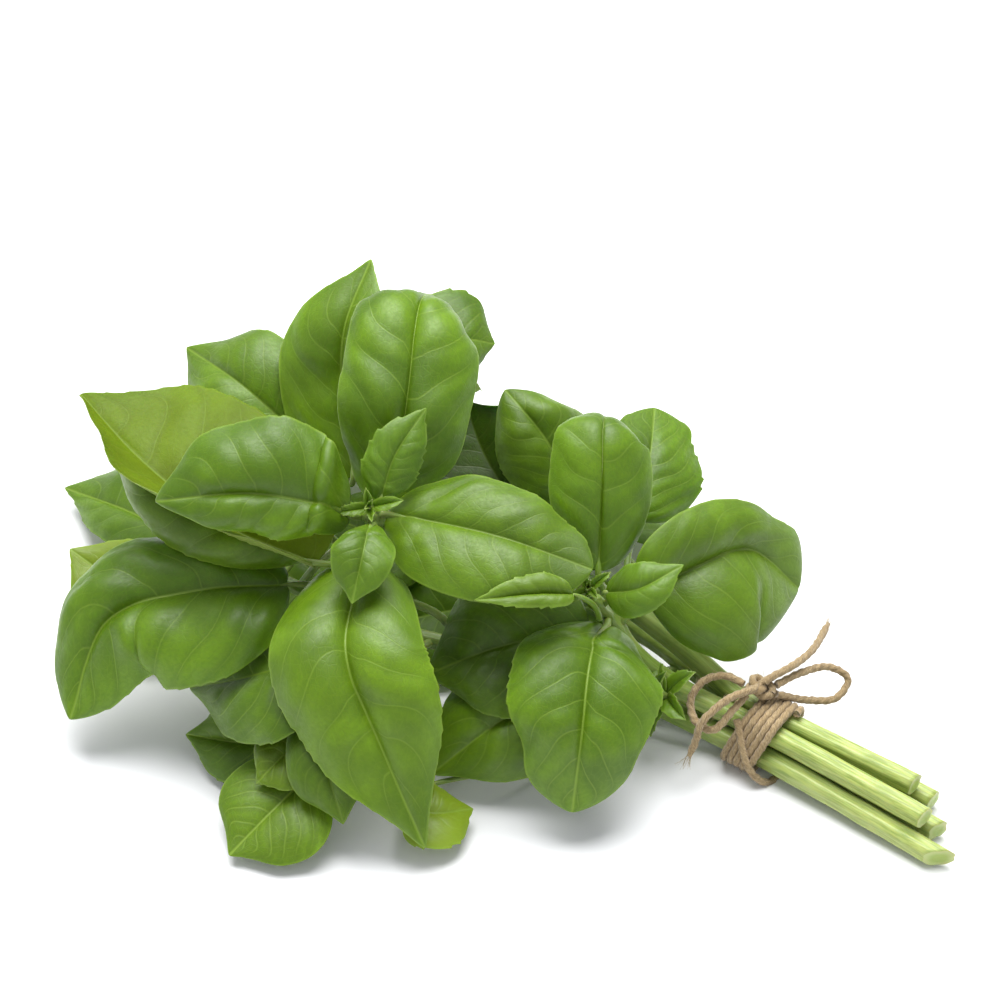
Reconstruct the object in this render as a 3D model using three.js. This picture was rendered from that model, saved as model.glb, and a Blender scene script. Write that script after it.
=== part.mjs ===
// A bunch of fresh basil lying on a table, tied with jute twine near the cut ends.
//
// Millimetres, +Z up. The stems run along X, with the cut ends at +X and the leaves at -X.
// The bunch is first laid out around the tie: X and Y are measured from the middle of the tie
// and Z from the table. The last group then moves it so that the origin is the middle of the
// underside.
//
// Every stem and leaf is one loft: rings of eight points along a centreline, closed by a flat
// cap at the root and by a single point at the tip.
import * as THREE from "three";

// Driving dimensions
const RING = 8; // points around every loft
const STEM_RADIUS = 2.8; // at the cut end
const SHOOT_RADIUS = 1.7; // of a stem among the leaves
const CORNER = 0.06; // how far a stem's corners stand out, as a share of its radius
const LEAF_THICKNESS = 0.9; // along the midrib, falling to an edge at the margin
const BASE_ROUNDING = 0.55; // powers that shape a leaf's outline: smaller is blunter
const TIP_ROUNDING = 0.75;
const PETIOLE_RADIUS = 1.1;
const PETIOLE_BEND = 0.4; // length of its end tangents, as a share of its own length
const PETIOLE_GAP = 0.45; // between its root and the stem
const CLEARANCE = 0.35; // between pieces that touch
const TWINE = 2.0; // twine diameter
const TIE_TURNS = 5;
const TIE_WIDTH = 11.6; // along the stems
const LEAF_GAP = 2.3; // between leaves that lie on each other
const LEAF_SLACK = 0.45; // how steeply a leaf gives way where another one lifts it
const PILE_CELL = 2.5; // spacing at which the pile's height is kept
const STEM_PILE_POINTS = 120; // along each stem, where it holds up leaves
const STEM_PILE_START = -20; // leaves rest on the stems only beyond this X

// The way the pile of leaves builds up: towards the front and upwards
const LEAN = new THREE.Vector3(0.437, -0.601, 0.669).normalize();
const ACROSS = new THREE.Vector3(LEAN.y, -LEAN.x, 0).normalize();
const ALONG = new THREE.Vector3().crossVectors(LEAN, ACROSS);

// Colour and roughness
const FINISHES = {
  leaf: [0x6f9a35, 0.45],
  bud: [0x93b25a, 0.6],
  stem: [0xa3b661, 0.6],
  twine: [0xb3a182, 0.9],
};

// Stems: height and offset where the twine holds them, the cut end, and the way to the tip.
const STEMS = {
  a: [[42, 5, 9.2], [7, 3, 11.1], [-7, 3, 11.1], [-25, 5, 15], [-45, 3, 24], [-66, -8, 33],
    [-90, -24, 42], [-98, -32, 51], [-96, -40, 61]],
  b: [[50, -3.5, 9.2], [7, -3, 11.1], [-7, -3, 11.1], [-20, -6, 14.6], [-33, -9, 22], [-42, -10, 32],
    [-43, -16, 42]],
  c: [[60, -8, 3.1], [7, -6, 5.3], [-7, -6, 5.3], [-27, -9, 8.5], [-42, -13, 13], [-54, -18, 16],
    [-82, -34, 20], [-110, -44, 27], [-136, -50, 34]],
  d: [[46, 8, 3.1], [7, 6, 5.3], [-7, 6, 5.3], [-33, 9, 8], [-58, 10, 13], [-95, 6, 25], [-124, 0, 35],
    [-144, -8, 41]],
  e: [[53, 0, 3.1], [7, 0, 5.3], [-7, 0, 5.3], [-26, -2, 4.4], [-38, -10, 3.2], [-54, -27, 4.5],
    [-72, -48, 10], [-84, -64, 15]],
};
const CUT_SLANT = { a: 0.15, b: 0.2, c: 1.1, d: 0.1, e: 0.4 }; // run of each cut across the stem

// Leaves from the bottom of the pile to the top: name, stem, how far along it the leaf grows,
// midrib points from base to tip, the way the middle of the upper side faces, width (one for
// each half where they differ, the right half first, seen from the base), and the section: how
// far each half rises from the midrib and how far it bends down at the margin, in degrees.
const UNDER = [
  ["leaf_d11", "d", 0.86, [[-137, 2, 26], [-159, 15, 21], [-181, 29, 6]], [-0.3, 0.5, 1], 46, 12, 30],
  ["leaf_d10", "d", 0.7, [[-112, 20, 24], [-121, 40, 18], [-128, 58, 4]], [0, 0.6, 1], 38, 12, 30],
  ["leaf_d9", "d", 0.52, [[-66, 28, 20], [-74, 44, 14], [-80, 58, 4]], [0, 0.6, 1], 34, 12, 30],
  ["leaf_d14", "d", 0.42, [[-74, -1, 7], [-63, 12, 7], [-50, 24, 4]], [0, 0, 1], 26, 5, 5],
  ["leaf_d13", "d", 0.88, [[-134, 12, 42], [-146, 26, 42], [-156, 38, 32]], [-0.2, 0.5, 1], 34, 12, 30],
  ["leaf_d12", "d", 0.6, [[-92, 20, 32], [-96, 36, 34], [-98, 54, 26]], [0, 0.5, 1], 32, 12, 30],
  ["leaf_d7", "d", 0.95, [[-151, -42, 20], [-180, -37, 14], [-210, -33, 5]],
    [0.3, -0.35, 0.9], [46, 22], 10, 20],
  ["leaf_d8", "d", 0.92, [[-145, -56, 12], [-163, -59, 12], [-182, -61, 18]],
    [0.4, -0.2, 0.85], 36, 10, 20],
  ["leaf_c6", "c", 0.45, [[-82, -11, 15], [-94, -20, 11], [-108, -31, 5]], [0.2, -0.4, 1], 38, 10, 20],
  ["leaf_c7", "c", 0.68, [[-99, -8, 21], [-119, -9, 19], [-144, -6, 12]], [0.2, -0.4, 1], 34, 10, 20],
  ["leaf_c4", "c", 0.78, [[-116, -27, 14], [-126, -33, 12], [-142, -41, 6]], [0.2, -0.4, 1], 36, 10, 20],
  ["leaf_c2", "c", 0.5, [[-36, -26, 26], [-48, -45, 22], [-60, -63, 8]], [0.3, -0.5, 0.8], 36, 10, 30],
  ["leaf_e6", "e", 0.72, [[-92, -63, 20], [-107, -69, 12], [-123, -74, 8]], [0.2, -0.2, 1], 28, 10, 20],
  ["leaf_e1", "e", 0.97, [[-92, -76, 12], [-105, -83, 9], [-120, -88, 7]],
    [0.3, -0.55, 0.75], 24, 30, 15],
  ["leaf_e2", "e", 0.9, [[-81, -85, 14], [-84, -99, 9], [-87, -111, 3]], [0.1, -0.4, 0.9], 32, 10, 20],
  ["leaf_e3", "e", 0.95, [[-84, -80, 22], [-88, -87, 18], [-92, -93, 11]], [0.2, -0.3, 0.9], 20, 10, 20],
  ["leaf_e4", "e", 0.86, [[-80, -72, 26], [-78, -81, 18], [-69, -87, 6]], [-0.1, -0.8, 0.6], 28, 10, 20],
  ["leaf_e5", "e", 0.66, [[-58, -76, 8], [-51, -73, 8], [-46, -64, 5]], [0.1, -0.2, 1], 21, 10, 20],
];
const OVER = [
  ["leaf_c5", "c", 0.75, [[-95, -65, 32], [-108, -73, 24], [-125, -79, 14]], [0.3, -0.4, 0.9], 36, 10, 30],
  ["leaf_c1", "c", 0.46, [[-42, -19, 35], [-57, -36, 34], [-73, -48, 24]],
    [0.3, -0.5, 0.8], 40, 10, 30],
  ["leaf_d5", "d", 0.65, [[-86, 9, 34], [-100, 14, 42], [-110, 20, 50]], [0.6, -0.8, 0.3], 40, 5, -50],
  ["leaf_d6", "d", 0.5, [[-74, 20, 34], [-84, 20, 50], [-100, 24, 56]], [0.7, -0.4, 0.7], 30, 15, 50],
  ["leaf_b2", "b", 0.8, [[-58, 24, 32], [-64, 39, 38], [-73, 55, 42]], [0.4, -0.6, 0.8], 30, 5, 15],
  ["leaf_d4", "d", 0.75, [[-124, 21, 55], [-117, 28, 62], [-112, 36, 58]], [0.4, -0.7, 0.7], 30, 5, 20],
  ["leaf_d2", "d", 0.99, [[-142, -14, 48], [-158, -15, 56], [-183, -8, 52]], [0.4, -0.6, 0.8], 36, 10, 30],
  ["leaf_d1", "d", 0.92, [[-121, -15, 42], [-131, -6, 58], [-136, 2, 74], [-139, 18, 86]],
    [0.1, -0.9, 0.45], 38, 10, 15],
  ["leaf_c3", "c", 0.72, [[-112, -53, 38], [-127, -69, 40], [-144, -87, 34], [-144, -105, 12]],
    [0.1, -0.5, 0.9], [38, 50], 15, 35],
  ["leaf_c8", "c", 0.9, [[-114, -34, 40], [-134, -44, 41], [-157, -48, 44], [-189, -39, 52]],
    [0.35, -0.75, 0.55], [16, 26], 10, 35],
  ["leaf_d3", "a", 0.92, [[-108, -45, 42], [-139, -42, 36], [-172, -38, 40], [-192, -37, 50]],
    [-0.2, 0.25, 1], [62, 52], 15, -45],
  ["leaf_a5", "a", 0.88, [[-100, -25, 54], [-104, -13, 76], [-114, 5, 88], [-127, 28, 73]],
    [0.5, -0.6, 0.6], 37, 15, 40],
  ["leaf_b1", "b", 0.9, [[-46, -10, 46], [-53, 1, 62], [-60, 11, 72], [-69, 27, 58]],
    [0.5, -0.6, 0.6], 29, 20, 50],
  ["leaf_b3", "b", 0.8, [[-37, -4, 38], [-29, 8, 43], [-23, 25, 40], [-13, 35, 24]],
    [0.45, -0.6, 0.65], [56, 30], 30, 28],
  ["leaf_b4", "b", 0.87, [[-38, -22, 40], [-31, -36, 39], [-25, -47, 30], [-22, -55, 11]],
    [0.5, -0.6, 0.6], 40, 15, 30],
  ["leaf_a6", "a", 0.88, [[-92, -48, 53], [-78, -73, 48], [-64, -79, 32], [-46, -84, 8]],
    [0.4, -0.7, 0.6], 41, 15, 30],
  ["leaf_a1", "a", 0.95, [[-104, -41, 60], [-123, -50, 61], [-148, -58, 51]],
    [0.5, -0.7, 0.45], [40, 26], 15, 40],
  ["leaf_a2", "a", 0.95, [[-91, -36, 61], [-63, -29, 63], [-41, -20, 57]],
    [0.25, -0.3, 0.9], [37, 31], 10, 20],
  ["leaf_a4", "a", 0.985, [[-91, -46, 64], [-85, -57, 64], [-82, -65, 57]], [0.3, -0.5, 0.8], 16, 10, 20],
  ["leaf_a3", "a", 0.985, [[-94, -37, 66], [-95, -30, 74], [-94, -18, 82]], [0.5, -0.7, 0.5], 15, 10, 20],
  ["leaf_b6", "b", 0.99, [[-45, -23, 49], [-51, -30, 51], [-63, -40, 50]], [0.1, -0.1, 1], 12, 35, 5],
  ["leaf_b5", "b", 0.97, [[-39, -17, 48], [-29, -17, 55], [-22, -8, 60]], [0.3, -0.4, 0.9], 14, 10, 20],
];

const vec = ([x, y, z]) => new THREE.Vector3(x, y, z);
const curveThrough = (points) => new THREE.CatmullRomCurve3(points.map(vec), false, "centripetal");

// A closed solid from rings of eight points: a fan over the first ring, and a point at the tip.
function loft(rings, tip) {
  const positions = rings.flat().flatMap((p) => [p.x, p.y, p.z]);
  positions.push(tip.x, tip.y, tip.z);
  const faces = [];
  for (let k = 1; k < RING - 1; k += 1) faces.push(0, k, k + 1);
  for (let r = 0; r + 1 < rings.length; r += 1) {
    for (let k = 0; k < RING; k += 1) {
      const a = r * RING + k;
      const b = r * RING + ((k + 1) % RING);
      faces.push(a, a + RING, b, b, a + RING, b + RING);
    }
  }
  const last = (rings.length - 1) * RING;
  const apex = rings.length * RING;
  for (let k = 0; k < RING; k += 1) faces.push(last + k, apex, last + ((k + 1) % RING));
  const geometry = new THREE.BufferGeometry();
  geometry.setAttribute("position", new THREE.Float32BufferAttribute(positions, 3));
  geometry.setIndex(faces);
  return geometry;
}

// Side and normal directions carried along a curve without twisting, starting at one station
// from the direction that the normal there comes nearest to.
function carriedFrames(curve, stations, facing, start) {
  const tangents = stations.map((u) => curve.getTangent(u));
  const normals = [];
  normals[start] = facing.clone().projectOnPlane(tangents[start]).normalize();
  for (let i = start + 1; i < stations.length; i += 1) {
    normals[i] = normals[i - 1].clone().projectOnPlane(tangents[i]).normalize();
  }
  for (let i = start - 1; i >= 0; i -= 1) {
    normals[i] = normals[i + 1].clone().projectOnPlane(tangents[i]).normalize();
  }
  return stations.map((u, i) => ({
    point: curve.getPoint(u),
    normal: normals[i],
    side: new THREE.Vector3().crossVectors(normals[i], tangents[i]),
  }));
}

// A ring around a frame: it starts on the right, seen from the root, then goes over the top and
// back underneath.
function roundRing({ point, normal, side }, radius, cornered = 0) {
  const corners = Array.from({ length: RING }, (_, k) => k);
  return corners.map((k) => {
    const angle = (k / RING) * 2 * Math.PI;
    const reach = radius * (k % 2 ? 1 + cornered : 1 - cornered);
    return point.clone()
      .addScaledVector(side, -reach * Math.cos(angle))
      .addScaledVector(normal, reach * Math.sin(angle));
  });
}

// A stem, square with rounded corners, thinner towards its tip, cut on a slant at its root.
const STEM_STATIONS = Array.from({ length: 15 }, (_, i) => i / 14);
function stemGeometry(route, slant) {
  const curve = curveThrough(route);
  const frames = carriedFrames(curve, STEM_STATIONS, new THREE.Vector3(0, 0, 1), 0);
  const rings = frames.map((frame, i) => roundRing(frame, stemRadius(STEM_STATIONS[i]), CORNER));
  const { point, side } = frames[0];
  const inward = curve.getTangent(0);
  for (const corner of rings[0]) {
    const across = corner.clone().sub(point).dot(side);
    corner.addScaledVector(inward, slant * (across + STEM_RADIUS));
  }
  const tip = curve.getPoint(1).addScaledVector(curve.getTangent(1), SHOOT_RADIUS);
  return loft(rings, tip);
}

function stemRadius(u) {
  const taper = THREE.MathUtils.smoothstep(u, 0.35, 0.95);
  return THREE.MathUtils.lerp(STEM_RADIUS, SHOOT_RADIUS, taper);
}

// Leaf blades: five midrib-to-margin columns at each station along the midrib
const BLADE_STATIONS = [0.06, 0.16, 0.28, 0.42, 0.56, 0.7, 0.83, 0.94];
const COLUMNS = [-1, -0.5, 0, 0.5, 1];
const THICKENING = [0, 0.35, 0.5, 0.35, 0]; // share of the thickness on each side of a column
const MIDDLE_STATION = 4;
const WIDEST = 0.42; // where the outline is widest
const bulge = (u) => u ** BASE_ROUNDING * (1 - u) ** TIP_ROUNDING;
const outline = (u) => bulge(u) / bulge(WIDEST); // half width, as a share of the greatest

// Across and up from the midrib to the point at column v of a half that is one unit wide.
// The section leaves the midrib at the rise angle and bends down to the droop angle.
function sectionPoint(v, rise, droop) {
  const steps = 6;
  const reach = Math.abs(v);
  let out = 0;
  let height = 0;
  for (let i = 0; i < steps; i += 1) {
    const along = ((i + 0.5) / steps) * reach;
    const angle = THREE.MathUtils.degToRad(rise - (rise + droop) * along);
    out += (Math.cos(angle) * reach) / steps;
    height += (Math.sin(angle) * reach) / steps;
  }
  return [Math.sign(v) * out, height];
}

function bladeGrid(spine, faces, width, rise, droop) {
  const [rightWidth, leftWidth = rightWidth] = [width].flat();
  const curve = curveThrough(spine);
  const frames = carriedFrames(curve, BLADE_STATIONS, vec(faces), MIDDLE_STATION);
  const rows = frames.map(({ point, normal, side }, i) => {
    const share = outline(BLADE_STATIONS[i]) / 2;
    return COLUMNS.map((v) => {
      const [out, height] = sectionPoint(v, rise, droop);
      const halfWidth = share * (v < 0 ? rightWidth : leftWidth);
      return point.clone()
        .addScaledVector(side, out * halfWidth)
        .addScaledVector(normal, height * halfWidth);
    });
  });
  return { rows, base: curve.getPoint(0), tip: curve.getPoint(1), baseNormal: frames[0].normal };
}

// The pile: the height reached along LEAN over each cell of a grid across it.
const pileCells = new Map();
const cellOf = (p) => [Math.round(p.dot(ACROSS) / PILE_CELL), Math.round(p.dot(ALONG) / PILE_CELL)];

function addToPile(p, extra = 0) {
  const [across, along] = cellOf(p);
  for (let i = across - 1; i <= across + 1; i += 1) {
    for (let j = along - 1; j <= along + 1; j += 1) {
      const key = `${i},${j}`;
      pileCells.set(key, Math.max(pileCells.get(key) ?? -Infinity, p.dot(LEAN) + extra));
    }
  }
}

// Points spread over a blade, closer together than the pile's cells
function bladePoints(rows) {
  const points = [];
  const steps = 5;
  for (let r = 0; r + 1 < rows.length; r += 1) {
    for (let c = 0; c + 1 < COLUMNS.length; c += 1) {
      for (let n = 0; n < steps * steps; n += 1) {
        const along = (n % steps) / (steps - 1);
        const across = Math.floor(n / steps) / (steps - 1);
        const near = rows[r][c].clone().lerp(rows[r][c + 1], across);
        const far = rows[r + 1][c].clone().lerp(rows[r + 1][c + 1], across);
        points.push(near.lerp(far, along));
      }
    }
  }
  return points;
}

// Lift a blade until it clears the table and everything below it. The lift falls off gently
// around each point that needs it, so the blade bends over what it lies on.
function settle(blade) {
  const pushes = [];
  for (const p of bladePoints(blade.rows)) {
    const below = pileCells.get(cellOf(p).join()) ?? -Infinity;
    const push = Math.max(below + LEAF_GAP - p.dot(LEAN), (LEAF_THICKNESS - p.z) / LEAN.z);
    if (push > 0) pushes.push([p, push]);
  }
  const liftAt = (v) => Math.max(0, ...pushes.map(([p, push]) => push - LEAF_SLACK * p.distanceTo(v)));
  const corners = [...blade.rows.flat(), blade.base, blade.tip];
  const lifts = corners.map(liftAt);
  corners.forEach((corner, i) => corner.addScaledVector(LEAN, lifts[i]));
  for (const p of bladePoints(blade.rows)) addToPile(p);
}

// Thickness is laid on both sides of the settled grid; the margins stay sharp.
function bladeRings(rows) {
  return rows.map((row, r) => {
    const before = rows[Math.max(r - 1, 0)];
    const after = rows[Math.min(r + 1, rows.length - 1)];
    const shift = (c, way) => {
      const along = after[c].clone().sub(before[c]);
      const across = row[Math.min(c + 1, 4)].clone().sub(row[Math.max(c - 1, 0)]);
      const normal = along.cross(across).normalize();
      return row[c].clone().addScaledVector(normal, way * THICKENING[c] * LEAF_THICKNESS);
    };
    const upper = [shift(1, 1), shift(2, 1), shift(3, 1)];
    const lower = [shift(3, -1), shift(2, -1), shift(1, -1)];
    return [row[0], ...upper, row[4], ...lower];
  });
}

// The petiole leaves the stem square to it and runs into the midrib.
function petioleRings(stem, at, blade) {
  const route = curveThrough(STEMS[stem]);
  const root = route.getPoint(at);
  const outwards = blade.base.clone().sub(root).projectOnPlane(route.getTangent(at)).normalize();
  const start = root.addScaledVector(outwards, stemRadius(at) + PETIOLE_GAP);
  const along = blade.rows[0][2].clone().sub(blade.base).normalize();
  const bend = start.distanceTo(blade.base) * PETIOLE_BEND;
  const curve = new THREE.CubicBezierCurve3(
    start,
    start.clone().addScaledVector(outwards, bend),
    blade.base.clone().addScaledVector(along, -bend),
    blade.base,
  );
  const frames = carriedFrames(curve, [0, 0.33, 0.67, 1], blade.baseNormal, 3);
  return frames.map((frame) => roundRing(frame, PETIOLE_RADIUS));
}

function leafGeometry(stem, at, blade) {
  return loft([...petioleRings(stem, at, blade), ...bladeRings(blade.rows)], blade.tip);
}

const layout = new THREE.Group();
function addPiece(name, geometry, kind) {
  const [color, roughness] = FINISHES[kind];
  const piece = new THREE.Mesh(geometry, new THREE.MeshStandardMaterial({ color, roughness, metalness: 0 }));
  piece.name = name;
  layout.add(piece);
}

for (const [letter, route] of Object.entries(STEMS)) {
  addPiece(`stem_${letter}`, stemGeometry(route, CUT_SLANT[letter]), "stem");
}

function pileUp(rows) {
  return rows.map(([name, stem, at, spine, faces, width, rise, droop]) => {
    const blade = bladeGrid(spine, faces, width, rise, droop);
    settle(blade);
    return { name, stem, at, blade };
  });
}
const under = pileUp(UNDER);
for (const route of Object.values(STEMS)) {
  for (const p of curveThrough(route).getSpacedPoints(STEM_PILE_POINTS)) {
    if (p.x < STEM_PILE_START) addToPile(p, STEM_RADIUS);
  }
}
const over = pileUp(OVER);
for (const { name, stem, at, blade } of [...under, ...over]) {
  addPiece(name, leafGeometry(stem, at, blade), "leaf");
}

// A cluster of unopened leaves, as one pointed body from a root point towards its tip.
// Each station is how far along it lies and its share of the radius.
const BUD_STATIONS = [[0, 0.35], [0.2, 0.8], [0.45, 1], [0.7, 0.75], [0.88, 0.4]];
function budGeometry(root, tip, radius) {
  const line = new THREE.LineCurve3(vec(root), vec(tip));
  const stations = BUD_STATIONS.map(([u]) => u);
  const frames = carriedFrames(line, stations, LEAN, 0);
  return loft(frames.map((frame, i) => roundRing(frame, radius * BUD_STATIONS[i][1])), vec(tip));
}
// Each cluster's root, tip and radius
const BUDS = {
  bud_a: [[-94.7, -40.9, 64.5], [-91.7, -45.4, 71], 3],
  bud_b: [[-43.8, -17.4, 46.5], [-42, -20.6, 52], 2.4],
  side_shoot: [[-22, -12.5, 17], [-26, -19, 25], 4.2],
};
for (const [name, bud] of Object.entries(BUDS)) addPiece(name, budGeometry(...bud), "bud");

// Twine of eight sides along a route
function twineGeometry(route, steps) {
  const section = new THREE.Shape();
  section.absarc(0, 0, TWINE / 2, 0, 2 * Math.PI);
  const options = { steps, curveSegments: 4, bevelEnabled: false, extrudePath: curveThrough(route) };
  return new THREE.ExtrudeGeometry(section, options);
}

// The tie winds round the outside of the stems, a little off square to them.
const TIE_POINTS = 12; // around each turn
const TIE_SKEW = 0.32; // along the stems, per unit of height
const TIE_MIDDLE = 8.2; // height of the middle of the bundle
function tieRoute() {
  const centres = Object.values(STEMS).map((route) => route[1]);
  const clear = STEM_RADIUS * (1 + CORNER) + TWINE / 2 + 1.5 * CLEARANCE;
  return Array.from({ length: TIE_TURNS * TIE_POINTS + 1 }, (_, i) => {
    const angle = (i / TIE_POINTS) * 2 * Math.PI + Math.PI / 2;
    const out = [Math.cos(angle), Math.sin(angle)];
    const reach = ([, y, z]) => y * out[0] + z * out[1];
    const outermost = centres.reduce((best, centre) => (reach(centre) > reach(best) ? centre : best));
    const y = outermost[1] + clear * out[0];
    const z = outermost[2] + clear * out[1];
    const along = (i / (TIE_TURNS * TIE_POINTS) - 0.5) * (TIE_WIDTH - TWINE);
    return [along + TIE_SKEW * (z - TIE_MIDDLE), y, z];
  });
}
addPiece("tie_turns", twineGeometry(tieRoute(), TIE_TURNS * TIE_POINTS), "twine");

// The bow: a knot on top of the turns, two loops and two loose ends
const KNOT = [-3.9, 2.6, 19.2];
const KNOT_HALF_LENGTH = new THREE.Vector3(4, 1.5, 0);
const KNOT_RADIUS = 2.6;
const BOW_STEPS = 4; // for each point of a route
const BOW = {
  loop_right: [[-0.3, 4.5, 20.5], [2.1, 12.2, 20], [5.9, 20.8, 17.5], [10.3, 23, 14],
    [10.3, 17.5, 11.5], [5.6, 11.3, 13], [0.5, 3.4, 18.6]],
  loop_left: [[-7.1, -0.1, 20.6], [-12.2, -0.7, 21], [-16.2, -4.2, 20], [-16.8, -9.6, 17.5],
    [-11.8, -14.7, 16], [-6.8, -14.5, 16], [-5.3, -7.8, 18.6], [-5.1, -2.1, 19.4]],
  end_right: [[-1.9, 4, 22.5], [0.8, 10.1, 23.5], [1.1, 19.4, 22], [-1.7, 31.8, 20]],
  end_left: [[-4, -1.6, 21.5], [-6.3, -7, 22], [-7.9, -11.8, 21], [-9.2, -16.7, 18.5],
    [-9.3, -18.4, 14], [-9.7, -20.8, 10]],
};
const knotEnds = [vec(KNOT).sub(KNOT_HALF_LENGTH), vec(KNOT).add(KNOT_HALF_LENGTH)];
addPiece("knot", budGeometry(...knotEnds.map((p) => p.toArray()), KNOT_RADIUS), "twine");
for (const [name, route] of Object.entries(BOW)) {
  addPiece(`twine_${name}`, twineGeometry(route, BOW_STEPS * route.length), "twine");
}

const bunch = new THREE.Group();
bunch.add(layout);
const size = new THREE.Box3().setFromObject(layout);
const middle = size.getCenter(new THREE.Vector3());
layout.position.set(-middle.x, -middle.y, -size.min.z);

export default bunch;
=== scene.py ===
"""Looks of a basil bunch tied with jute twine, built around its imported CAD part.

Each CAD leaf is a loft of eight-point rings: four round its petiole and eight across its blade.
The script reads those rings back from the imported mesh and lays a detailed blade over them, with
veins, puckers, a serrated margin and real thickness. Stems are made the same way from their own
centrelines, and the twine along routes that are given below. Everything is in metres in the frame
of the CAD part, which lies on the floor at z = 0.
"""

import math

import bpy
import numpy as np
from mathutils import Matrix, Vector, noise


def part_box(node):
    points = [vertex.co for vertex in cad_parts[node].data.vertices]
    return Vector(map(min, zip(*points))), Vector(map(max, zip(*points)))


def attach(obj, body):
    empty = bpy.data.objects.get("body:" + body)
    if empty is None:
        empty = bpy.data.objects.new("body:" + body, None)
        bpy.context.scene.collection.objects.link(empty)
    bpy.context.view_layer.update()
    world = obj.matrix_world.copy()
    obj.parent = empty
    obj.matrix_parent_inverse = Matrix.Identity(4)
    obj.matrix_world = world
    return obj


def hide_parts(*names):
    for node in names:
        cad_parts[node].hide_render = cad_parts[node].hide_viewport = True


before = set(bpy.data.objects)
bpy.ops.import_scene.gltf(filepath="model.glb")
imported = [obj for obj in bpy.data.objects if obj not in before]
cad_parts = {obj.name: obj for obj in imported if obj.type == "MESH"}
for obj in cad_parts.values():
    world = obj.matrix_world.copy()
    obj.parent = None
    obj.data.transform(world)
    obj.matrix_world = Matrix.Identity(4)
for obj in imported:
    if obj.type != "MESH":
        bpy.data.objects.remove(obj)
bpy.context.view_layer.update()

MM = 0.001
RING = 8  # points in each ring of a CAD loft
PETIOLE_RINGS, BLADE_RINGS, STEM_RINGS = 4, 8, 15
STATIONS = [0, 0.06, 0.16, 0.28, 0.42, 0.56, 0.7, 0.83, 0.94, 1]  # base, CAD rings and tip
WIDEST = 0.42  # where along a blade it is widest

# TIE is a point under the middle of the tie, 0.4 mm above the floor. The camera and the twine are
# placed from it, and the middle of the CAD tie's box stands at TIE_BOX_MIDDLE from it.
TIE_BOX_MIDDLE = np.array([0.479, -0.003, 8.142]) * MM
low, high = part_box("tie_turns")
TIE = (np.array(low) + np.array(high)) / 2 - TIE_BOX_MIDDLE


# ---------------------------------------------------------------- camera and light
CAMERA_TARGET = TIE + np.array([-85.96, 2.74, 40]) * MM
CAMERA_SIDE = np.array([0.4368, -0.6012, 0.6691])  # a unit vector from the target to the camera
CAMERA_DISTANCE = 0.9
SENSOR_WIDTH, LENS = 36, 123.536  # mm

SOFTBOX_PLACE, SOFTBOX_TARGET = (-0.3, 0.35, 1.4), (-0.02, 0, 0.04)
SOFTBOX_WIDTH, SOFTBOX_POWER = 1.4, 44
SKY_COLOUR, SKY_STRENGTH = (0.95, 0.97, 1, 1), 0.62


def aim(obj, target):
    obj.rotation_euler = (Vector(target) - obj.location).to_track_quat("-Z", "Y").to_euler()


def link(name, data):
    obj = bpy.data.objects.new(name, data)
    bpy.context.scene.collection.objects.link(obj)
    return obj


def make_camera():
    camera = link("camera", bpy.data.cameras.new("camera"))
    camera.data.sensor_fit = "HORIZONTAL"
    camera.data.sensor_width = SENSOR_WIDTH
    camera.data.lens = LENS
    camera.data.clip_start = 0.05
    camera.location = Vector(CAMERA_TARGET + CAMERA_DISTANCE * CAMERA_SIDE)
    aim(camera, CAMERA_TARGET)
    bpy.context.scene.camera = camera


def make_light():
    """One large round softbox high above and behind the bunch, and a pale sky that fills in."""
    data = bpy.data.lights.new("softbox", "AREA")
    data.shape = "DISK"
    data.size = SOFTBOX_WIDTH
    data.energy = SOFTBOX_POWER
    softbox = link("softbox", data)
    softbox.location = SOFTBOX_PLACE
    aim(softbox, SOFTBOX_TARGET)

    world = bpy.data.worlds.new("studio")
    world.use_nodes = True
    sky = world.node_tree.nodes["Background"].inputs
    sky["Color"].default_value = SKY_COLOUR
    sky["Strength"].default_value = SKY_STRENGTH
    bpy.context.scene.world = world
    bpy.context.scene.view_settings.view_transform = "Standard"


make_camera()
make_light()


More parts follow.
